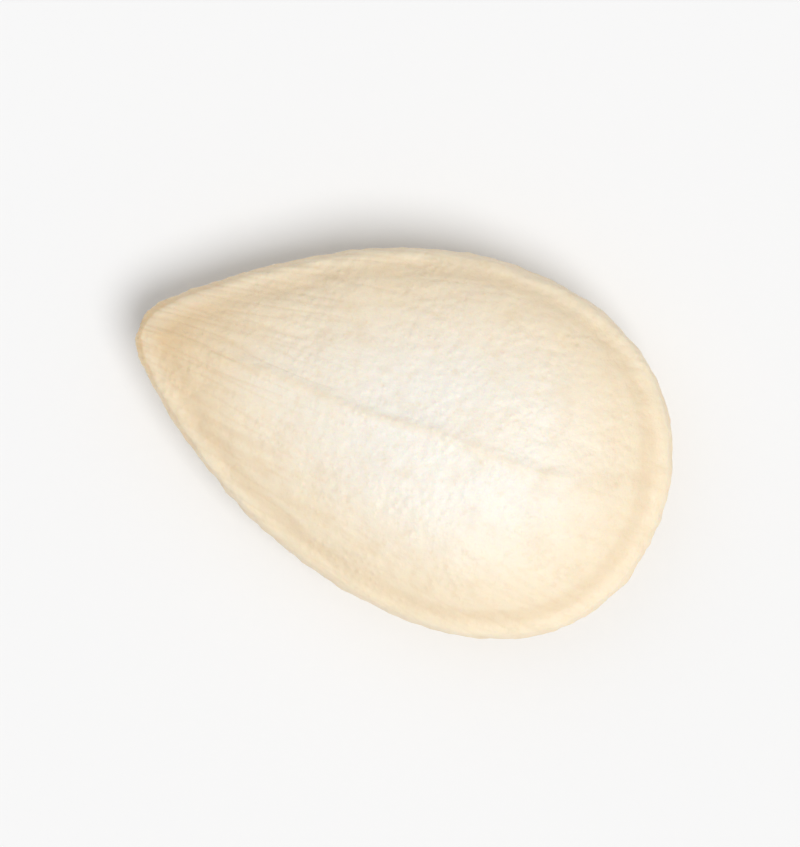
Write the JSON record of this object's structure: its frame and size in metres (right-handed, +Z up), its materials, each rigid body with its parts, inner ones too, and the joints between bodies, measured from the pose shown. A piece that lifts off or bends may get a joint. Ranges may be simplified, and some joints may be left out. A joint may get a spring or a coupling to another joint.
{
  "type": "sesame seed",
  "caption": "Flat drop-shaped pale seed, with a fine raised margin round each face, a thin line along the upper face and a blunt point, lying on one face.",
  "frame": {"origin": "on the surface that the seed lies on, below the middle of its length and width", "axes": "+X along the seed to its blunt point, +Y across it, +Z up through the face with the thin line"},
  "size_m": [0.0032, 0.0022, 0.0009],
  "materials": {
    "seed_coat": "smooth, dull satin, pale cream plant tissue"
  },
  "bodies": {
    "root": {"sesame_seed": "seed_coat"}
  },
  "joints": []
}
